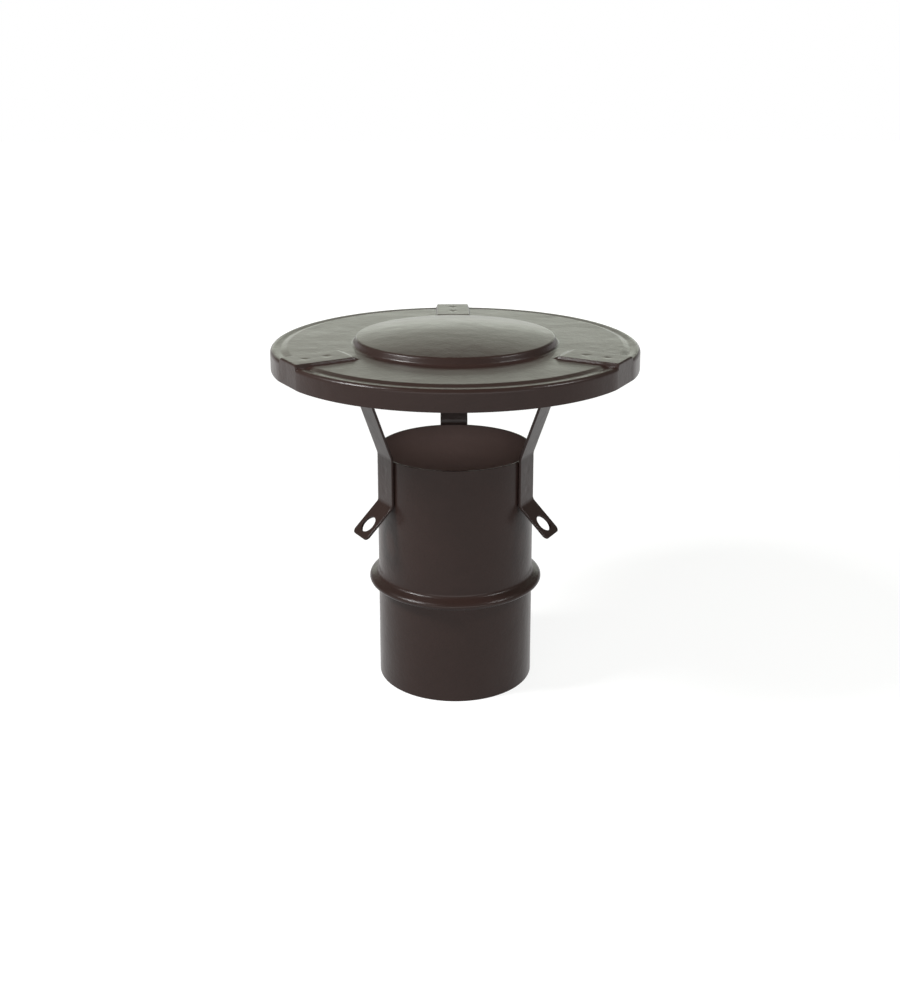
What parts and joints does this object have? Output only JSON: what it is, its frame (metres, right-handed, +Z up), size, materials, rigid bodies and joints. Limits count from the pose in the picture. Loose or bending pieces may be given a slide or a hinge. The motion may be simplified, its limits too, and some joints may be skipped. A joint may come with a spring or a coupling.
{
  "type": "flue rain cap",
  "caption": "Rain cap for a stove flue: a pipe end with a rolled stop bead, and a pressed lid held clear of its open mouth on bent straps.",
  "frame": {"origin": "centre of the pipe's lower rim, on the pipe's axis", "axes": "+Z up the pipe's axis to the lid, +Y towards the strap at the back, +X to the right seen from the front"},
  "size_m": [0.277, 0.276, 0.2785],
  "materials": {
    "enamel": "glossy baked enamel, brownish black, with a slight waviness"
  },
  "bodies": {
    "root": {"flue_pipe": "enamel", "rain_lid": "enamel", "strap_back": "enamel", "strap_left": "enamel", "strap_right": "enamel"}
  },
  "joints": []
}
